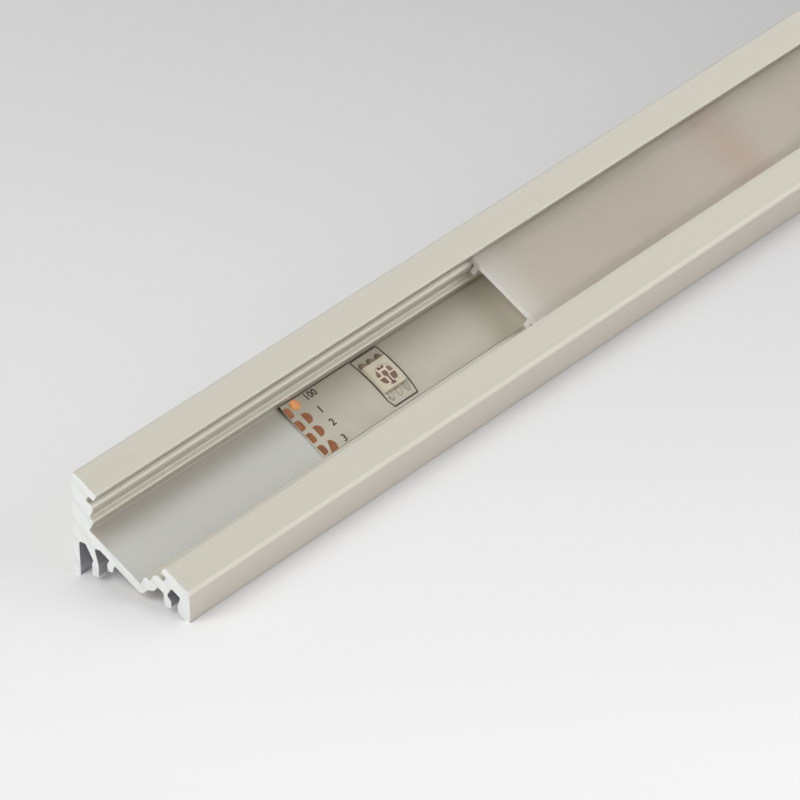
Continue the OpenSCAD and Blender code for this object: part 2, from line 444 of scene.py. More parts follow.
def seat_place_group():
    """Distance across the sloping seat toward the back wall, and height square to the seat."""
    group, start, end = node_group(
        "Seat place",
        [("Vector", "NodeSocketVector", None)],
        [("Across", "NodeSocketFloat"), ("Height", "NodeSocketFloat")],
    )
    turned = add_mapping(group, start.outputs["Vector"], rotation=(-SEAT_SLOPE, 0, 0))
    _, across, height = add_split(group, turned)
    group.links.new(across, end.inputs["Across"])
    group.links.new(height, end.inputs["Height"])
    return group


def mottle_group():
    """Soft uneven tone and fine grain that moulded, lacquered and anodised skins share."""
    group, start, end = node_group(
        "Soft mottle",
        [
            ("Vector", "NodeSocketVector", None),
            ("Scale", "NodeSocketFloat", 60.0),
            ("Grain scale", "NodeSocketFloat", 3000.0),
        ],
        [("Tone", "NodeSocketFloat"), ("Grain", "NodeSocketFloat")],
    )
    for label, scale, detail in (("Tone", "Scale", 3), ("Grain", "Grain scale", 2)):
        noise = add_noise(group, start.outputs["Vector"], start.outputs[scale], detail=detail)
        group.links.new(noise, end.inputs[label])
    return group


GROUP_MAKERS = {
    "Die lines": die_lines_group,
    "Saw marks": saw_marks_group,
    "Sawn ends": end_band_group,
    "Seat place": seat_place_group,
    "Soft mottle": mottle_group,
}


def use_group(tree, name, **values):
    """A node of a shared group, with its inputs linked or set."""
    group = bpy.data.node_groups.get(name) or GROUP_MAKERS[name]()
    node = tree.nodes.new("ShaderNodeGroup")
    node.node_tree = group
    for label, value in values.items():
        feed(tree, value, node.inputs[label.replace("_", " ")])
    return node


def new_material(name, roughness=0.5, metallic=0.0, coat=0.0, coat_roughness=0.03):
    """A material with its Principled shader and its Object coordinates."""
    material = bpy.data.materials.new(name)
    material.use_nodes = True
    tree = material.node_tree
    shader = tree.nodes["Principled BSDF"]
    shader.inputs["Roughness"].default_value = roughness
    shader.inputs["Metallic"].default_value = metallic
    shader.inputs["Coat Weight"].default_value = coat
    shader.inputs["Coat Roughness"].default_value = coat_roughness
    place = tree.nodes.new("ShaderNodeTexCoord").outputs["Object"]
    return material, tree, shader, place


def add_bump(tree, shader, height, strength, distance):
    """Relief on a shader from a height mask."""
    bump = tree.nodes.new("ShaderNodeBump")
    bump.inputs["Strength"].default_value = strength
    bump.inputs["Distance"].default_value = distance
    tree.links.new(height, bump.inputs["Height"])
    tree.links.new(bump.outputs["Normal"], shader.inputs["Normal"])


def add_pattern_height(tree, group, pattern, factor):
    """Height that a group's pattern and its grain give together."""
    both = add_math(tree, "ADD", group.outputs[pattern], group.outputs["Grain"])
    return add_math(tree, "MULTIPLY", both, factor)


def add_painted_light_and_shade(tree, place, skin, finish):
    """The skin with painted light and shade: a cooler painted light on the open seat, painted shade
    in the seat's corner, a paler, rosier painted reflection on the front, and a darker, purplish
    painted shade in the hollows underneath.
    """
    seat = use_group(tree, "Seat place", Vector=place)
    across = seat.outputs["Across"]
    height = seat.outputs["Height"]
    _, depth, level = add_split(tree, place)
    # Painted light: the open seat takes a cooler colour
    above = add_step(tree, height, SEAT_CORNER[1], SEAT_LIGHT[:2])
    below = add_step(tree, height, SEAT_CORNER[1], SEAT_LIGHT[2:], falling=True)
    inside = add_math(tree, "LESS_THAN", across, SEAT_CORNER[0] + SEAT_END)
    on_seat = add_all(tree, above, below, inside)
    skin = add_mix(tree, on_seat, skin, finish.painted_seat_light)
    # Painted shade: the seat darkens toward its corner with the back wall
    corner = add_step(tree, across, SEAT_CORNER[0], CORNER_SHADE)
    skin = add_mix(tree, add_all(tree, corner, on_seat), skin, finish.painted_corner_shade)
    # Painted reflection: the front face turns paler and rosier
    front = add_step(tree, depth, PROFILE_LOW.y, FRONT_REFLECTION, falling=True)
    skin = add_mix(tree, front, skin, finish.painted_front_reflection)
    # Painted shade: the hollows underneath turn darker and purplish
    under = add_math(tree, "LESS_THAN", height, SEAT_CORNER[1] - HOLLOW_DEPTH)
    within = add_math(tree, "LESS_THAN", depth, PROFILE_HIGH.y - HOLLOW_WALL)
    low = add_math(tree, "LESS_THAN", level, FOOT_TOP)
    behind = add_math(tree, "GREATER_THAN", depth, PROFILE_LOW.y + HOLLOW_WALL)
    before = add_math(tree, "LESS_THAN", depth, FOOT_END)
    rear = add_all(tree, under, within)
    foot = add_all(tree, low, behind, before)
    return add_mix(tree, add_math(tree, "MAXIMUM", rear, foot), skin, finish.painted_hollow_shade)


def aluminium_material(finish):
    """Satin anodised skin with faint die lines and painted light and shade by place, and bare
    bright metal on the sawn ends.
    """
    material, tree, shader, place = new_material("Anodised aluminium")
    lines = use_group(tree, "Die lines", Vector=place)
    mottle = use_group(tree, "Soft mottle", Vector=place, Scale=9.0)
    saw = use_group(tree, "Saw marks", Vector=place)
    ends = use_group(tree, "Sawn ends", Vector=place, Half_length=PROFILE_HIGH.x, Edge=finish.burr)
    streak = add_range(tree, lines.outputs["Lines"], 0.35, 0.75)
    uneven = add_range(tree, mottle.outputs["Tone"], *SPOTS, 0.3, 1.0)
    skin = add_mix(tree, add_all(tree, streak, uneven), finish.anodised, finish.anodised_deep)
    # Painted light and shade on the skin, by place
    skin = add_painted_light_and_shade(tree, place, skin, finish)
    torn = add_all(tree, saw.outputs["Marks"], saw.outputs["Grain"])
    bare = add_mix(tree, add_range(tree, torn, 0.1, 0.6), finish.sawn, finish.sawn_deep)
    open_metal = add_math(tree, "MAXIMUM", ends.outputs["Face"], ends.outputs["Edge"])
    tree.links.new(add_mix(tree, open_metal, skin, bare), shader.inputs["Base Color"])
    metal = add_range(tree, open_metal, 0, 1, SKIN_METAL, SAWN_METAL, smooth=False)
    tree.links.new(metal, shader.inputs["Metallic"])
    rough = (finish.roughness - 0.03, finish.roughness + 0.03)
    skin_rough = add_range(tree, lines.outputs["Grain"], *GRAIN, *rough)
    bare_rough = add_range(tree, saw.outputs["Grain"], *SPOTS, 0.38, 0.6)
    tree.links.new(add_blend(tree, open_metal, skin_rough, bare_rough), shader.inputs["Roughness"])
    skin_height = add_pattern_height(tree, lines, "Lines", 0.04)
    bare_height = add_pattern_height(tree, saw, "Marks", 0.3)
    relief = add_blend(tree, ends.outputs["Face"], skin_height, bare_height)
    add_bump(tree, shader, relief, strength=0.5, distance=0.00003)
    return material


def film_material(tape):
    """Lacquered film, a little uneven, with a painted shade that deepens it toward the back wall,
    under a clear gloss.
    """
    material, tree, shader, place = new_material("Tape film", coat=0.15, coat_roughness=0.3)
    mottle = use_group(tree, "Soft mottle", Vector=place, Scale=260.0)
    tone = add_range(tree, mottle.outputs["Tone"], *SPOTS)
    film = add_mix(tree, tone, tape.film_colour, tape.deep_colour)
    seat = use_group(tree, "Seat place", Vector=place)
    # Painted shade: the film darkens toward the back wall
    shade_toward_wall = add_step(tree, seat.outputs["Across"], SEAT_CORNER[0], FILM_SHADE)
    tree.links.new(add_mix(tree, shade_toward_wall, film, tape.painted_wall_shade), shader.inputs["Base Color"])
    rough = add_range(tree, mottle.outputs["Grain"], *GRAIN, 0.38, 0.5)
    tree.links.new(rough, shader.inputs["Roughness"])
    grain = add_math(tree, "MULTIPLY", mottle.outputs["Grain"], 0.3)
    relief = add_math(tree, "ADD", mottle.outputs["Tone"], grain)
    add_bump(tree, shader, relief, strength=0.3, distance=0.00004)
    return material


def spotted_material(name, colours, scale, spots, rough=None, relief=None, **plain):
    """A material that goes from one colour to another in soft spots. Its roughness may follow the
    grain within a range, and its relief the grain or the spots, with a strength and a depth. Plain
    values are the same all over it."""
    material, tree, shader, place = new_material(name, **plain)
    mottle = use_group(tree, "Soft mottle", Vector=place, Scale=scale)
    tone = add_range(tree, mottle.outputs["Tone"], *spots)
    tree.links.new(add_mix(tree, tone, *colours), shader.inputs["Base Color"])
    if rough:
        uneven = add_range(tree, mottle.outputs["Grain"], *GRAIN, *rough)
        tree.links.new(uneven, shader.inputs["Roughness"])
    if relief:
        source, strength, depth = relief
        add_bump(tree, shader, mottle.outputs[source], strength, depth)
    return material


def with_deeper(colour, factor):
    """A colour, and the same one darker by a factor."""
    return tuple(colour), tuple(part * factor for part in colour)


def copper_material(name, colour):
    """Bare copper with a little tarnish."""
    return spotted_material(
        name, with_deeper(colour, 0.7), 900.0, FEWER_SPOTS, rough=(0.3, 0.5),
        relief=("Grain", 0.3, 0.00002), metallic=0.85,
    )


def ink_material(tape):
    """Printed ink, a little thin in places."""
    thin = tuple(part + 0.05 for part in tape.ink)
    return spotted_material("Printed ink", (tuple(tape.ink), thin), 1800.0, (0.5, 0.8))


def package_material(package):
    """Moulded resin of the light packages."""
    return spotted_material(
        "Package resin", with_deeper(package.body_colour, 0.9), 500.0, (0.3, 0.75),
        relief=("Grain", 0.2, 0.00002), roughness=0.42,
    )


def window_material(package):
    """Pale floor of the windows under a clear gloss."""
    colours = with_deeper(package.floor_colour, 0.9)
    return spotted_material("Window floor", colours, 900.0, SPOTS, coat=0.8, coat_roughness=0.1)


def frame_plate_material(package):
    """Brown plates of the lead frame under a clear gloss."""
    return spotted_material(
        "Lead frame", with_deeper(package.frame_colour, 0.6), 1500.0, FEWER_SPOTS, rough=(0.4, 0.6),
        metallic=0.4, coat=0.6, coat_roughness=0.15,
    )


def solder_material(name, colour):
    """Solder with a soft shine."""
    return spotted_material(
        name, with_deeper(colour, 0.7), 1200.0, FEWER_SPOTS, rough=(0.36, 0.52),
        relief=("Tone", 0.3, 0.00004), metallic=0.5,
    )


def cover_material(finish, pitch):
    """Frosted plastic that lets blurred light through, with painted light that makes it paler at
    its near end and a painted reddish glow of the pads over each cutting place."""
    material, tree, shader, place = new_material("Frosted cover")
    shader.inputs["Transmission Weight"].default_value = COVER_CLEAR
    shader.inputs["IOR"].default_value = COVER_IOR
    mottle = use_group(tree, "Soft mottle", Vector=place, Scale=30.0)
    tone = add_range(tree, mottle.outputs["Tone"], *FEWER_SPOTS)
    along = add_split(tree, place)[0]
    # Painted light: the plastic turns paler toward its near end
    beside = add_step(tree, along, COVER_START, END_LIGHT_FADE, falling=True)
    face = add_math(tree, "LESS_THAN", along, COVER_START + ON_FACE)
    # Painted glow: a reddish tone near each cutting place, where the pads show through
    from_cut = add_math(tree, "PINGPONG", add_math(tree, "SUBTRACT", along, TAPE_LOW.x), pitch / 2)
    glow = add_step(tree, from_cut, 0.0, (0.0, finish.glow), falling=True)
    plastic = add_mix(tree, tone, finish.frosted, finish.frosted_deep)
    plastic = add_mix(tree, beside, plastic, finish.painted_end_light)
    plastic = add_mix(tree, glow, plastic, finish.painted_pad_glow)
    tree.links.new(add_mix(tree, face, plastic, finish.sawn), shader.inputs["Base Color"])
    rough = add_range(tree, mottle.outputs["Grain"], *GRAIN, 0.46, 0.56)
    tree.links.new(rough, shader.inputs["Roughness"])
    add_bump(tree, shader, mottle.outputs["Grain"], strength=0.2, distance=0.00002)
    return material


# Building blocks of the pieces on the tape

# Angle between faces past which an edge stays sharp
SHARP = radians(35)

# Cross lines and long lines of the film's mesh, and how strongly the cross lines gather at its end
FILM_MESH = (160, 16)
FILM_GATHER = 1.8

# Share of the arch's settling distance over which the corner at the cut curls up
CURL_SHARE = 0.6


def seat_matrix():
    """Turns the tape's flat layout into its place on the sloping seat."""
    middle = (TAPE_LOW + TAPE_HIGH) / 2
    place = Matrix.Translation((TAPE_LOW.x, middle.y, middle.z))
    turn = Matrix.Rotation(SEAT_SLOPE, 4, "X")
    return place @ turn @ Matrix.Translation((0, 0, TAPE_THICKNESS / 2))


def film_top(tape, x, y):
    """Height of the film's top in the flat layout. The arch dies away toward the cut end, whose
    upper corner curls up a little."""
    sideways = 2 * y / TAPE_WIDTH
    inward = min(1, max(0, min(x, TAPE_LENGTH - x) / tape.settle))
    arch = tape.rise * (1 - sideways * sideways) * inward * inward * (3 - 2 * inward)
    near_cut = max(0, 1 - x / (CURL_SHARE * tape.settle))
    curl = tape.curl * max(0, sideways) ** 2 * near_cut ** 2
    return tape.film - TAPE_THICKNESS + arch + curl


def lay_on_film(tape, verts):
    """Lifts flat verts onto the film."""
    for vert in verts:
        vert.co.z += film_top(tape, vert.co.x, vert.co.y)


def finish_piece(name, bm, materials):
    """Makes a piece of a mesh in the flat layout, placed on the seat."""
    bmesh.ops.transform(bm, matrix=seat_matrix(), verts=bm.verts)
    mesh = bpy.data.meshes.new(name)
    bm.to_mesh(mesh)
    bm.free()
    for material in materials:
        mesh.materials.append(material)
    mesh.shade_smooth()
    mesh.set_sharp_from_angle(angle=SHARP)
    piece = bpy.data.objects.new(name, mesh)
    bpy.context.collection.objects.link(piece)
    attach(piece, BODY)
    return piece


def move(bm, verts, x=0.0, y=0.0, z=0.0):
    """Moves verts."""
    bmesh.ops.translate(bm, vec=(x, y, z), verts=verts)


def verts_of(made):
    """The verts among what an operator made."""
    return [item for item in made["geom"] if isinstance(item, bmesh.types.BMVert)]


def edges_of(made):
    """The edges among what an operator made."""
    return [item for item in made["geom"] if isinstance(item, bmesh.types.BMEdge)]


def thicken(bm, faces, height):
    """Raises flat faces into a plate of that height, closed below."""
    raised = bmesh.ops.extrude_face_region(bm, geom=list(faces), use_keep_orig=True)
    bmesh.ops.translate(bm, vec=(0, 0, height), verts=verts_of(raised))


def cut_off(bm, place, normal):
    """Cuts away what lies past a plane."""
    geom = bm.verts[:] + bm.edges[:] + bm.faces[:]
    bmesh.ops.bisect_plane(bm, geom=geom, plane_co=place, plane_no=normal, clear_outer=True)


def keep_within(bm, lows, highs):
    """Cuts a flat shape down to what lies between two corners."""
    for axis, (low, high) in enumerate(zip(lows, highs)):
        for limit, sign in ((low, -1), (high, 1)):
            if limit is None:
                continue
            normal = Vector((0, 0, 0))
            normal[axis] = sign
            cut_off(bm, normal * limit * sign, normal)


def flat_plate(width, depth, corner, segments=5):
    """A flat face with rounded corners, around the origin."""
    bm = bmesh.new()
    verts = bmesh.ops.create_grid(bm, x_segments=1, y_segments=1, size=0.5)["verts"]
    bmesh.ops.scale(bm, vec=(width, depth, 1), verts=verts)
    bmesh.ops.bevel(
        bm, geom=bm.verts[:], offset=corner, offset_type="OFFSET", segments=segments, profile=0.5,
        affect="VERTICES", material=-1,
    )
    return bm


def join_into(bm, made):
    """Adds one bmesh to another and frees it."""
    part = bpy.data.meshes.new("part")
    made.to_mesh(part)
    made.free()
    bm.from_mesh(part)
    bpy.data.meshes.remove(part)


def make_tape(tape, film):
    """The film: a long strip, arched across its width, with its cross lines closer at the cut end."""
    bm = bmesh.new()
    across, along = FILM_MESH
    verts = bmesh.ops.create_grid(bm, x_segments=across, y_segments=along, size=0.5)["verts"]
    for vert in verts:
        vert.co.x = TAPE_LENGTH * (vert.co.x + 0.5) ** FILM_GATHER
        vert.co.y *= TAPE_WIDTH
    lay_on_film(tape, verts)
    bmesh.ops.recalc_face_normals(bm, faces=bm.faces)
    if bm.faces[0].normal.z < 0:
        bmesh.ops.reverse_faces(bm, faces=bm.faces)
    bmesh.ops.solidify(bm, geom=bm.faces[:], thickness=tape.film)
    return finish_piece("tape_film", bm, [film])


# Copper pads beside a cut, in millimetres: place along and across, full width, height, corner
# rounding, where the flat side cuts the shape off, and turn in degrees
CUT_PADS = (
    (0.0, 3.4, 2.3, 1.8, 0.55, 0.0, 0),
    (0.0, 0.95, 2.3, 1.8, 0.55, 0.0, 0),
    (0.0, -1.5, 2.3, 1.75, 0.55, 0.0, 0),
    (0.0, -3.9, 2.3, 1.7, 0.55, 0.0, 0),
)
ROUND_PADS = (
    (2.5, 3.95, 1.9, 1.7, 0.8, -0.9, 0),
    (2.0, 1.35, 2.7, 1.85, 0.9, 0.05, 0),
    (1.95, -1.2, 2.6, 1.9, 0.9, 0.05, 0),
    (1.7, -4.05, 3.0, 2.35, 1.1, 0.15, -27),
)

# A side of a cut has pads where the tape goes on for at least this length
PAD_REACH = 0.005


def cut_places(tape):
    """Distances of the cutting places from the tape's near end."""
    return [tape.cut_pitch * index for index in range(round(TAPE_LENGTH / tape.cut_pitch) + 1)]


def make_pad(tape, pad, cut, side):
    """One copper pad on the film, on either side of a cut."""
    along, across, width, depth, corner, flat, turn = pad
    made = flat_plate(width * MM, depth * MM, corner * MM)
    keep_within(made, (flat * MM, None), (None, None))
    rotation = Matrix.Rotation(radians(turn), 3, "Z")
    bmesh.ops.rotate(made, cent=(0, 0, 0), matrix=rotation, verts=made.verts)
    move(made, made.verts, along * MM, across * MM)
    keep_within(made, (0, -TAPE_WIDTH / 2), (None, TAPE_WIDTH / 2))
    thicken(made, made.faces, tape.copper_height)
    bmesh.ops.scale(made, vec=(side, 1, 1), verts=made.verts)
    move(made, made.verts, x=cut)
    lay_on_film(tape, made.verts)
    bmesh.ops.recalc_face_normals(made, faces=made.faces)
    return made


def make_pads(tape, copper, bright):
    """Copper pads on both sides of every cutting place."""
    bm = bmesh.new()
    for cut in cut_places(tape):
        for side in (-1, 1):
            if not 0 <= cut + side * PAD_REACH <= TAPE_LENGTH:
                continue
            for index, pad in enumerate(CUT_PADS + ROUND_PADS):
                made = make_pad(tape, pad, cut, side)
                # Painted reflection: the first round pad on each side of a cut takes the brighter
                # copper
                if index == len(CUT_PADS):
                    for face in made.faces:
                        face.material_index = 1
                join_into(bm, made)
    return finish_piece("copper_pads", bm, [copper, bright])


def package_centres(tape, package):
    """Distances of the packages from the tape's near end."""
    first = PACKAGES_LOW.x - TAPE_LOW.x + package.side / 2
    last = PACKAGES_HIGH.x - TAPE_LOW.x - package.side / 2
    step = (last - first) / max(1, package.count - 1)
    return [first + step * index for index in range(package.count)]


# Corners of the printed outline around a package, in millimetres from the package's middle along
# the tape and from the tape's own middle across it
OUTLINE = (
    (-2.95, 4.95), (-2.95, -3.25), (-2.4, -4.58), (2.95, -4.58), (3.15, -3.2), (3.3, -0.5), (3.3, 4.95)
)

# Distance from the cut at which the edge line starts, rounding of its ends, and its cross lines
EDGE_LINE_START = 0.00005
EDGE_LINE_CORNER = 0.00002
EDGE_LINE_CUTS = 12


def outline_ring(tape, x):
    """The printed line around one package."""
    bm = bmesh.new()
    face = bm.faces.new([bm.verts.new((x + along * MM, across * MM, 0)) for along, across in OUTLINE])
    bmesh.ops.bevel(
        bm, geom=[face.verts[0], face.verts[-1]], offset=tape.corner, offset_type="OFFSET", segments=4,
        profile=0.5, affect="VERTICES", material=-1,
    )
    bm.faces.ensure_lookup_table()
    face = bm.faces[0]
    face.normal_update()
    bmesh.ops.inset_region(
        bm, faces=[face], thickness=tape.line, use_even_offset=True, use_boundary=True
    )
    bmesh.ops.delete(bm, geom=[face], context="FACES_ONLY")
    return bm


def edge_line(tape, start, end):
    """The printed line along the tape's upper edge."""
    bm = flat_plate(end - start, tape.edge_line, EDGE_LINE_CORNER, segments=1)
    move(bm, bm.verts, (start + end) / 2, TAPE_WIDTH / 2 - tape.edge_line / 2)
    long_edges = [edge for edge in bm.edges if edge.calc_length() > (end - start) / 2]
    bmesh.ops.subdivide_edges(bm, edges=long_edges, cuts=EDGE_LINE_CUTS)
    return bm


# Share of a font's size that its figures stand high, and what thickens their strokes
FIGURE_SHARE = 0.7
FIGURE_WEIGHT = 0.00003


def figure_shape(text, height):
    """Flat shape of a short run of plain figures, with its lower left corner at the origin."""
    curve = bpy.data.curves.new("figures", "FONT")
    curve.body = text
    curve.size = height / FIGURE_SHARE
    curve.offset = FIGURE_WEIGHT
    curve.resolution_u = 2
    holder = bpy.data.objects.new("figures", curve)
    mesh = bpy.data.meshes.new_from_object(holder)
    bm = bmesh.new()
    bm.from_mesh(mesh)
    for block in (holder, curve, mesh):
        bpy.data.batch_remove([block])
    return bm


# Plain figures printed beside the pads: the text, and its left side and middle in millimetres
FIGURES = (("100", 4.75, 4.1), ("1", 4.9, 1.35), ("2", 4.9, -1.25), ("3", 4.65, -4.12))

# Printed edges that reach further than this across the tape are parted, so that they follow its arch
LONG_ACROSS = 0.0015
ARCH_CUTS = 7


def make_print(tape, package, ink):
    """Printed outlines around the packages, and plain figures beside the pads."""
    bm = bmesh.new()
    centres = package_centres(tape, package)
    for x in centres:
        join_into(bm, outline_ring(tape, x))
    for cut in cut_places(tape)[:-1]:
        first = next(x for x in centres if x > cut)
        join_into(bm, edge_line(tape, cut + EDGE_LINE_START, first + OUTLINE[0][0] * MM))
        for label, left, middle in FIGURES:
            shape = figure_shape(label, tape.figure_height)
            move(shape, shape.verts, cut + left * MM, middle * MM - tape.figure_height / 2)
            join_into(bm, shape)
    bmesh.ops.triangulate(bm, faces=bm.faces[:])
    across = [edge for edge in bm.edges if abs(edge.verts[0].co.y - edge.verts[1].co.y) > LONG_ACROSS]
    bmesh.ops.subdivide_edges(bm, edges=across, cuts=ARCH_CUTS)
    thicken(bm, bm.faces, tape.ink_height)
    lay_on_film(tape, bm.verts)
    bmesh.ops.recalc_face_normals(bm, faces=bm.faces)
    return finish_piece("printed_marks", bm, [ink])


def square_reach(vert, half):
    """Factor that moves a vert on a circle out to a square of that half side."""
    return half / max(abs(vert.co.x), abs(vert.co.y))


# Moulded body: share of its side that its top keeps, steps around its window, rounding of its
# edges, length and angle past which an edge is rounded, and share of its half side and of its
# height past which an edge is one of its outer ones
BODY_DRAFT = 0.985
WINDOW_STEPS = 32
BODY_ROUNDING = 0.00008
SHORT_EDGE = 0.0003
BENT_EDGE = radians(60)
OUTER_SHARE = 0.95
UPPER_SHARE = 0.5


def package_body(bm, package):
    """One moulded body: a square block with a round window sunk in its top."""
    radius = package.window / 2
    rim = bmesh.ops.create_circle(bm, cap_ends=False, radius=radius, segments=WINDOW_STEPS)["verts"]
    rim_edges = bm.edges[:]
    half = package.side / 2
    top = bmesh.ops.extrude_edge_only(bm, edges=rim_edges)
    for vert in verts_of(top):
        vert.co *= square_reach(vert, half * BODY_DRAFT)
    low = bmesh.ops.extrude_edge_only(bm, edges=edges_of(top))
    for vert in verts_of(low):
        vert.co *= 1 / BODY_DRAFT
        vert.co.z = -package.height
    bmesh.ops.contextual_create(bm, geom=edges_of(low))
    well = bmesh.ops.extrude_edge_only(bm, edges=rim_edges)
    shrink = package.window_floor / package.window
    for vert in verts_of(well):
        vert.co.x *= shrink
        vert.co.y *= shrink
        vert.co.z = -package.window_depth
    bmesh.ops.translate(bm, vec=package.window_shift, verts=rim + verts_of(well))
    bmesh.ops.contextual_create(bm, geom=edges_of(well))
    bmesh.ops.translate(bm, vec=(0, 0, package.height), verts=bm.verts)
    bmesh.ops.recalc_face_normals(bm, faces=bm.faces)
    corners = [
        edge for edge in bm.edges
        if edge.is_manifold and edge.calc_face_angle(0) > BENT_EDGE and edge.calc_length() > SHORT_EDGE
        and max(abs(edge.verts[0].co.x), abs(edge.verts[0].co.y)) > half * OUTER_SHARE
        and edge.verts[0].co.z + edge.verts[1].co.z > package.height * UPPER_SHARE
    ]
    bmesh.ops.bevel(
        bm, geom=corners, offset=BODY_ROUNDING, offset_type="OFFSET", segments=2, profile=0.5,
        affect="EDGES", material=-1, clamp_overlap=True,
    )


# Plates of the lead frame, in millimetres from the window's middle: low x, low y, high x, high y
FRAME_PLATES = (
    (-0.68, 1.2, -0.2, 1.78),
    (-0.68, 1.2, 0.68, 1.5),
    (0.2, 1.2, 0.68, 1.78),
    (-1.75, 0.2, -0.92, 1.2),
    (0.85, 0.2, 1.75, 1.12),
    (-1.75, -1.2, -0.6, -0.12),
    (0.45, -1.2, 1.72, -0.06),
    (-0.52, -0.14, 0.46, 0.82),
    (-0.18, -1.5, 0.2, 0.0),
    (-0.52, -1.8, 0.5, -1.3),
)

# Plates and floor disc of the window: gap to its wall, rounding and height of the plates, gap and
# height of the disc, steps around both, and angle under which an outline turns sharply
PLATE_GAP = 0.00003
PLATE_CORNER = 0.0003
PLATE_HEIGHT = 0.00003
DISC_GAP = 0.00001
DISC_HEIGHT = 0.00001
DISC_STEPS = 28
SHARP_TURN = radians(140)


def round_corners(bm, offset):
    """Rounds the corners of a flat shape where its outline turns sharply."""
    corners = []
    for vert in bm.verts:
        first, second = (edge.other_vert(vert).co - vert.co for edge in vert.link_edges)
        if first.angle(second) < SHARP_TURN:
            corners.append(vert)
    bmesh.ops.bevel(
        bm, geom=corners, offset=offset, offset_type="OFFSET", segments=3, profile=0.5,
        affect="VERTICES", material=-1, clamp_overlap=True,
    )


def frame_plates(bm, package):
    """Thin plates on the window's floor, cut out of a round sheet."""
    floor = package.height - package.window_depth
    radius = package.window_floor / 2 - PLATE_GAP
    for low_x, low_y, high_x, high_y in FRAME_PLATES:
        made = bmesh.new()
        bmesh.ops.create_circle(made, cap_ends=True, radius=radius, segments=DISC_STEPS)
        keep_within(made, (low_x * MM, low_y * MM), (high_x * MM, high_y * MM))
        if not made.faces:
            raise RuntimeError("A plate of the lead frame lies outside the window")
        round_corners(made, PLATE_CORNER)
        thicken(made, made.faces, PLATE_HEIGHT)
        move(made, made.verts, package.window_shift.x, package.window_shift.y, floor)
        bmesh.ops.recalc_face_normals(made, faces=made.faces)
        join_into(bm, made)


def window_floor(bm, package):
    """Pale disc on the floor of the window."""
    radius = package.window_floor / 2 - DISC_GAP
    floor = package.height - package.window_depth
    bmesh.ops.create_circle(bm, cap_ends=True, radius=radius, segments=DISC_STEPS)
    thicken(bm, bm.faces, DISC_HEIGHT)
    move(bm, bm.verts, package.window_shift.x, package.window_shift.y, floor)
    bmesh.ops.recalc_face_normals(bm, faces=bm.faces)


# Solder drops: their half length and the place of their middle as shares of their reach, their
# height, their depth in the film, and how far they narrow and fall toward their ends
DROP_HALF = 0.62
DROP_MIDDLE = 0.38
DROP_HEIGHT = 0.00036
DROP_DEPTH = 0.0001
DROP_NARROWS = 0.5
DROP_FALLS = 0.35


def solder_joints(bm, package):
    """Six solder joints, each a low drop that narrows away from the body, the upper three in the
    darker, browner solder of a painted shade.
    """
    rows = (
        (-1, package.joint_width, package.joint_reach),
        (1, package.upper_width, package.upper_reach),
    )
    for tone, (side, width, reach) in enumerate(rows):
        half = reach * DROP_HALF
        middle = side * (package.side / 2 + reach * DROP_MIDDLE)
        for index in (-1, 0, 1):
            made = bmesh.new()
            verts = bmesh.ops.create_uvsphere(made, u_segments=20, v_segments=14, radius=1.0)["verts"]
            bmesh.ops.scale(made, vec=(width / 2, half, DROP_HEIGHT), verts=verts)
            cut_off(made, (0, 0, 0), (0, 0, -1))
            bmesh.ops.contextual_create(made, geom=[edge for edge in made.edges if edge.is_boundary])
            for vert in made.verts:
                outward = max(0, vert.co.y * side / half)
                vert.co.x *= 1 - DROP_NARROWS * outward
                vert.co.z *= 1 - DROP_FALLS * outward
            # Painted shade: the upper row takes the darker, browner solder
            for face in made.faces:
                face.material_index = tone
            move(made, made.verts, index * package.lead_pitch, middle, -DROP_DEPTH)
            bmesh.ops.recalc_face_normals(made, faces=made.faces)
            join_into(bm, made)


def repeat_packages(tape, package, maker):
    """One bmesh that holds a shape at the place of every package."""
    single = bmesh.new()
    maker(single, package)
    part = bpy.data.meshes.new("package")
    single.to_mesh(part)
    single.free()
    bm = bmesh.new()
    lift = film_top(tape, TAPE_LENGTH / 2, package.offset + package.side / 2)
    for x in package_centres(tape, package):
        count = len(bm.verts)
        bm.from_mesh(part)
        bm.verts.ensure_lookup_table()
        move(bm, bm.verts[count:], x=x, y=package.offset, z=lift)
    bpy.data.meshes.remove(part)
    return bm


# Operators, one for each piece or group of like pieces, and one for the stage


class PROFILE_OT_profile(bpy.types.Operator):
    """Finish the aluminium profile"""

    bl_idname = "profile.profile"
    bl_label = "Aluminium profile"

    def execute(self, context):
        finish = context.scene.profile_finish
        give_material("profile", aluminium_material(finish))
        return {"FINISHED"}


class PROFILE_OT_tape(bpy.types.Operator):
    """Make the flexible tape"""

    bl_idname = "profile.tape"
    bl_label = "Flexible tape"

    def execute(self, context):
        tape = context.scene.profile_tape
        film = film_material(tape)
        give_material("led_tape", film)
        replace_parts(make_tape(tape, film), "led_tape")
        return {"FINISHED"}


class PROFILE_OT_pads(bpy.types.Operator):
    """Make the copper pads at the cutting places"""

    bl_idname = "profile.pads"
    bl_label = "Copper pads"

    def execute(self, context):
        tape = context.scene.profile_tape
        copper = copper_material("Copper", tape.copper)
        # The brighter copper carries the painted reflection on one pad at each cut
        make_pads(tape, copper, copper_material("Bright copper", tape.painted_glint_copper))
        return {"FINISHED"}


class PROFILE_OT_print(bpy.types.Operator):
    """Print the outlines and the plain figures on the tape"""

    bl_idname = "profile.print"
    bl_label = "Printed marks"

    def execute(self, context):
        tape = context.scene.profile_tape
        make_print(tape, context.scene.profile_package, ink_material(tape))
        return {"FINISHED"}


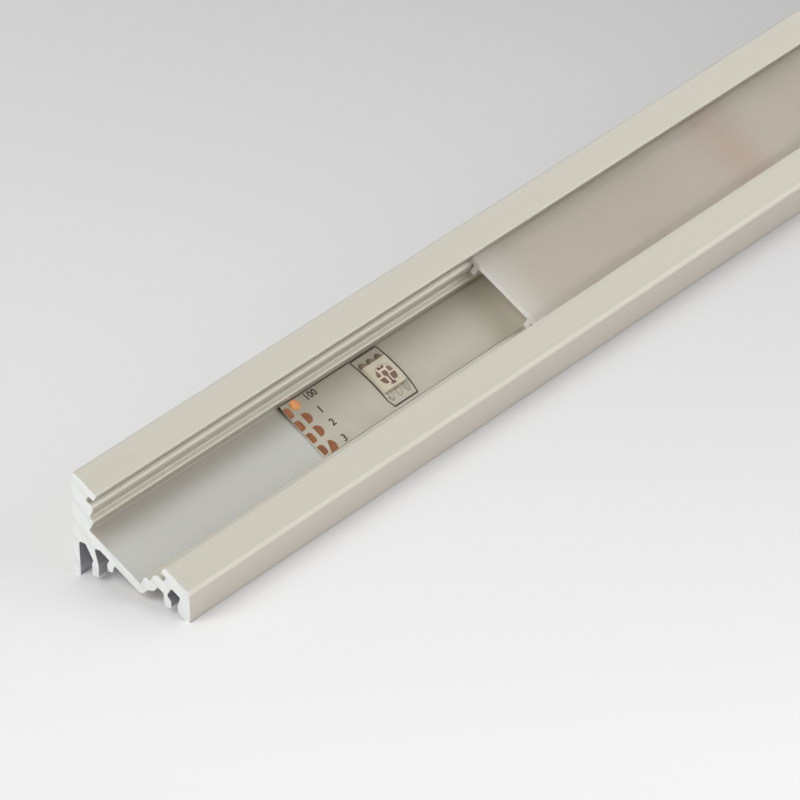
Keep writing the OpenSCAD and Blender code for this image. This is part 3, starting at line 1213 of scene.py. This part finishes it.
class PROFILE_OT_packages(bpy.types.Operator):
    """Make the light packages with their windows, plates and solder"""

    bl_idname = "profile.packages"
    bl_label = "Light packages"

    def execute(self, context):
        tape = context.scene.profile_tape
        package = context.scene.profile_package
        resin = package_material(package)
        give_material("led_packages", resin)
        solder = [
            solder_material("Solder", package.solder),
            # The darker solder carries the painted shade of the upper joints
            solder_material("Solder under flux", package.shade),
        ]
        layers = (
            ("package_bodies", package_body, [resin]),
            ("package_windows", window_floor, [window_material(package)]),
            ("package_frames", frame_plates, [frame_plate_material(package)]),
            ("package_solder", solder_joints, solder),
        )
        for name, maker, materials in layers:
            shape = repeat_packages(tape, package, maker)
            piece = finish_piece(name, shape, materials)
            if name == "package_bodies":
                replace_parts(piece, "led_packages")
        return {"FINISHED"}


class PROFILE_OT_cover(bpy.types.Operator):
    """Finish the frosted cover"""

    bl_idname = "profile.cover"
    bl_label = "Frosted cover"

    def execute(self, context):
        pitch = context.scene.profile_tape.cut_pitch
        give_material("diffuser_cover", cover_material(context.scene.profile_cover, pitch))
        return {"FINISHED"}


def give_material(node, material):
    """Puts one material on every slot of a solid that the frame brought."""
    slots = frame["nodes"][node].material_slots
    for slot in slots:
        slot.material = material


# Turn of the floor's painted light about z, its limits along the turned x and y, and the limits
# of its fall-off around the part's near end
FLOOR_TURN = radians(50.727)
FLOOR_ACROSS = (-0.343, -0.223)
FLOOR_AWAY = (-0.428, -0.211)
FLOOR_AROUND = (0.38, 0.85)
NEAR_END = (PROFILE_LOW.x, 0, 0)

# Lamps: name, place, width and height, and the setting that holds their power
LAMPS = (
    ("far_lamp", (1.06, 0.78, 1.96), (3.0, 2.1), "far_power"),
    ("front_lamp", (1.0, -1.8, 0.95), (4.0, 1.9), "front_power"),
    ("left_lamp", (-2.1, 0.4, 1.25), (2.2, 2.2), "left_power"),
)

# Width of the camera's sensor in millimetres, and the nearest and furthest that it sees
SENSOR_WIDTH = 36
CLIP = (0.01, 20)


def floor_material(stage):
    """Pale paper with painted light, brightest at the near right, deeper toward the back and away
    from the part's near end.
    """
    material, tree, shader, place = new_material("Pale floor", roughness=0.85)
    shader.inputs["Specular IOR Level"].default_value = 0.2
    # Painted light: four corner colours and a fall-off away from the near end
    turned = add_mapping(tree, place, rotation=(0, 0, FLOOR_TURN))
    sideways, depth, _ = add_split(tree, turned)
    across = add_range(tree, sideways, *FLOOR_ACROSS, smooth=False)
    away = add_range(tree, depth, *FLOOR_AWAY, smooth=False)
    near = add_mix(tree, across, stage.near_left, stage.near_right)
    far = add_mix(tree, across, stage.far_left, stage.far_right)
    apart = tree.nodes.new("ShaderNodeVectorMath")
    apart.operation = "DISTANCE"
    tree.links.new(place, apart.inputs[0])
    apart.inputs[1].default_value = NEAR_END
    beyond = add_range(tree, apart.outputs["Value"], *FLOOR_AROUND)
    around = add_mix(tree, away, near, far)
    tree.links.new(add_mix(tree, beyond, around, stage.beyond), shader.inputs["Base Color"])
    return material


def make_floor(stage):
    """A large flat round floor under the part."""
    bm = bmesh.new()
    bmesh.ops.create_circle(bm, cap_ends=True, segments=128, radius=stage.floor_size / 2)
    mesh = bpy.data.meshes.new("floor")
    bm.to_mesh(mesh)
    bm.free()
    mesh.materials.append(floor_material(stage))
    floor = bpy.data.objects.new("floor", mesh)
    bpy.context.collection.objects.link(floor)


def add_lamp(name, place, target, size, energy):
    """A large soft lamp that looks at a point."""
    data = bpy.data.lights.new(name, "AREA")
    data.shape = "RECTANGLE"
    data.size, data.size_y = size
    data.energy = energy
    lamp = bpy.data.objects.new(name, data)
    look = Vector(target) - Vector(place)
    lamp.matrix_world = Matrix.Translation(place) @ look.to_track_quat("-Z", "Y").to_matrix().to_4x4()
    bpy.context.collection.objects.link(lamp)


def make_world(stage):
    """Even light from all sides, with a paler backdrop for the camera alone."""
    world = bpy.data.worlds.new("studio")
    world.use_nodes = True
    tree = world.node_tree
    background = tree.nodes["Background"]
    background.inputs["Color"].default_value = (1, 1, 1, 1)
    seen = tree.nodes.new("ShaderNodeLightPath").outputs["Is Camera Ray"]
    strength = add_range(tree, seen, 0, 1, stage.world_strength, stage.backdrop, smooth=False)
    tree.links.new(strength, background.inputs["Strength"])
    return world


def camera_turn(stage):
    """Rotation of the camera from its azimuth, elevation and roll."""
    back = Vector((
        sin(stage.azimuth) * cos(stage.elevation),
        -cos(stage.azimuth) * cos(stage.elevation),
        sin(stage.elevation),
    ))
    right = Vector((cos(stage.azimuth), sin(stage.azimuth), 0))
    upright = Matrix((right, back.cross(right), back)).transposed()
    return upright @ Matrix.Rotation(stage.roll, 3, "Z")


def make_camera(stage):
    """The camera at the angle of the view."""
    data = bpy.data.cameras.new("camera")
    data.lens = stage.lens
    data.sensor_width = SENSOR_WIDTH
    data.clip_start, data.clip_end = CLIP
    camera = bpy.data.objects.new("camera", data)
    camera.matrix_world = Matrix.Translation(stage.camera_place) @ camera_turn(stage).to_4x4()
    bpy.context.collection.objects.link(camera)
    bpy.context.scene.camera = camera


class PROFILE_OT_stage(bpy.types.Operator):
    """Make the floor, the light and the camera"""

    bl_idname = "profile.stage"
    bl_label = "Stage"

    def execute(self, context):
        stage = context.scene.profile_stage
        make_floor(stage)
        for name, place, size, setting in LAMPS:
            add_lamp(name, place, NEAR_END, size, getattr(stage, setting))
        context.scene.world = make_world(stage)
        context.scene.view_settings.view_transform = "Standard"
        make_camera(stage)
        return {"FINISHED"}


class PROFILE_PT_panel(bpy.types.Panel):
    """Lists the steps of the corner profile"""

    bl_label = "Corner light profile"
    bl_idname = "PROFILE_PT_panel"
    bl_space_type = "VIEW_3D"
    bl_region_type = "UI"
    bl_category = "Profile"

    def draw(self, context):
        for operator in OPERATORS:
            self.layout.operator(operator.bl_idname)


OPERATORS = (
    PROFILE_OT_profile,
    PROFILE_OT_tape,
    PROFILE_OT_pads,
    PROFILE_OT_print,
    PROFILE_OT_packages,
    PROFILE_OT_cover,
    PROFILE_OT_stage,
)
SETTINGS = {
    "profile_finish": ProfileFinish,
    "profile_tape": TapeSettings,
    "profile_package": PackageSettings,
    "profile_cover": CoverFinish,
    "profile_stage": StageSettings,
}
CLASSES = (*SETTINGS.values(), *OPERATORS, PROFILE_PT_panel)


def register():
    for item in CLASSES:
        bpy.utils.register_class(item)
    for name, settings in SETTINGS.items():
        setattr(bpy.types.Scene, name, PointerProperty(type=settings))


def unregister():
    for name in SETTINGS:
        delattr(bpy.types.Scene, name)
    for item in reversed(CLASSES):
        bpy.utils.unregister_class(item)


def main():
    register()
    bpy.ops.profile.profile()
    bpy.ops.profile.tape()
    bpy.ops.profile.pads()
    bpy.ops.profile.print()
    bpy.ops.profile.packages()
    bpy.ops.profile.cover()
    bpy.ops.profile.stage()


if __name__ == "__main__":
    main()
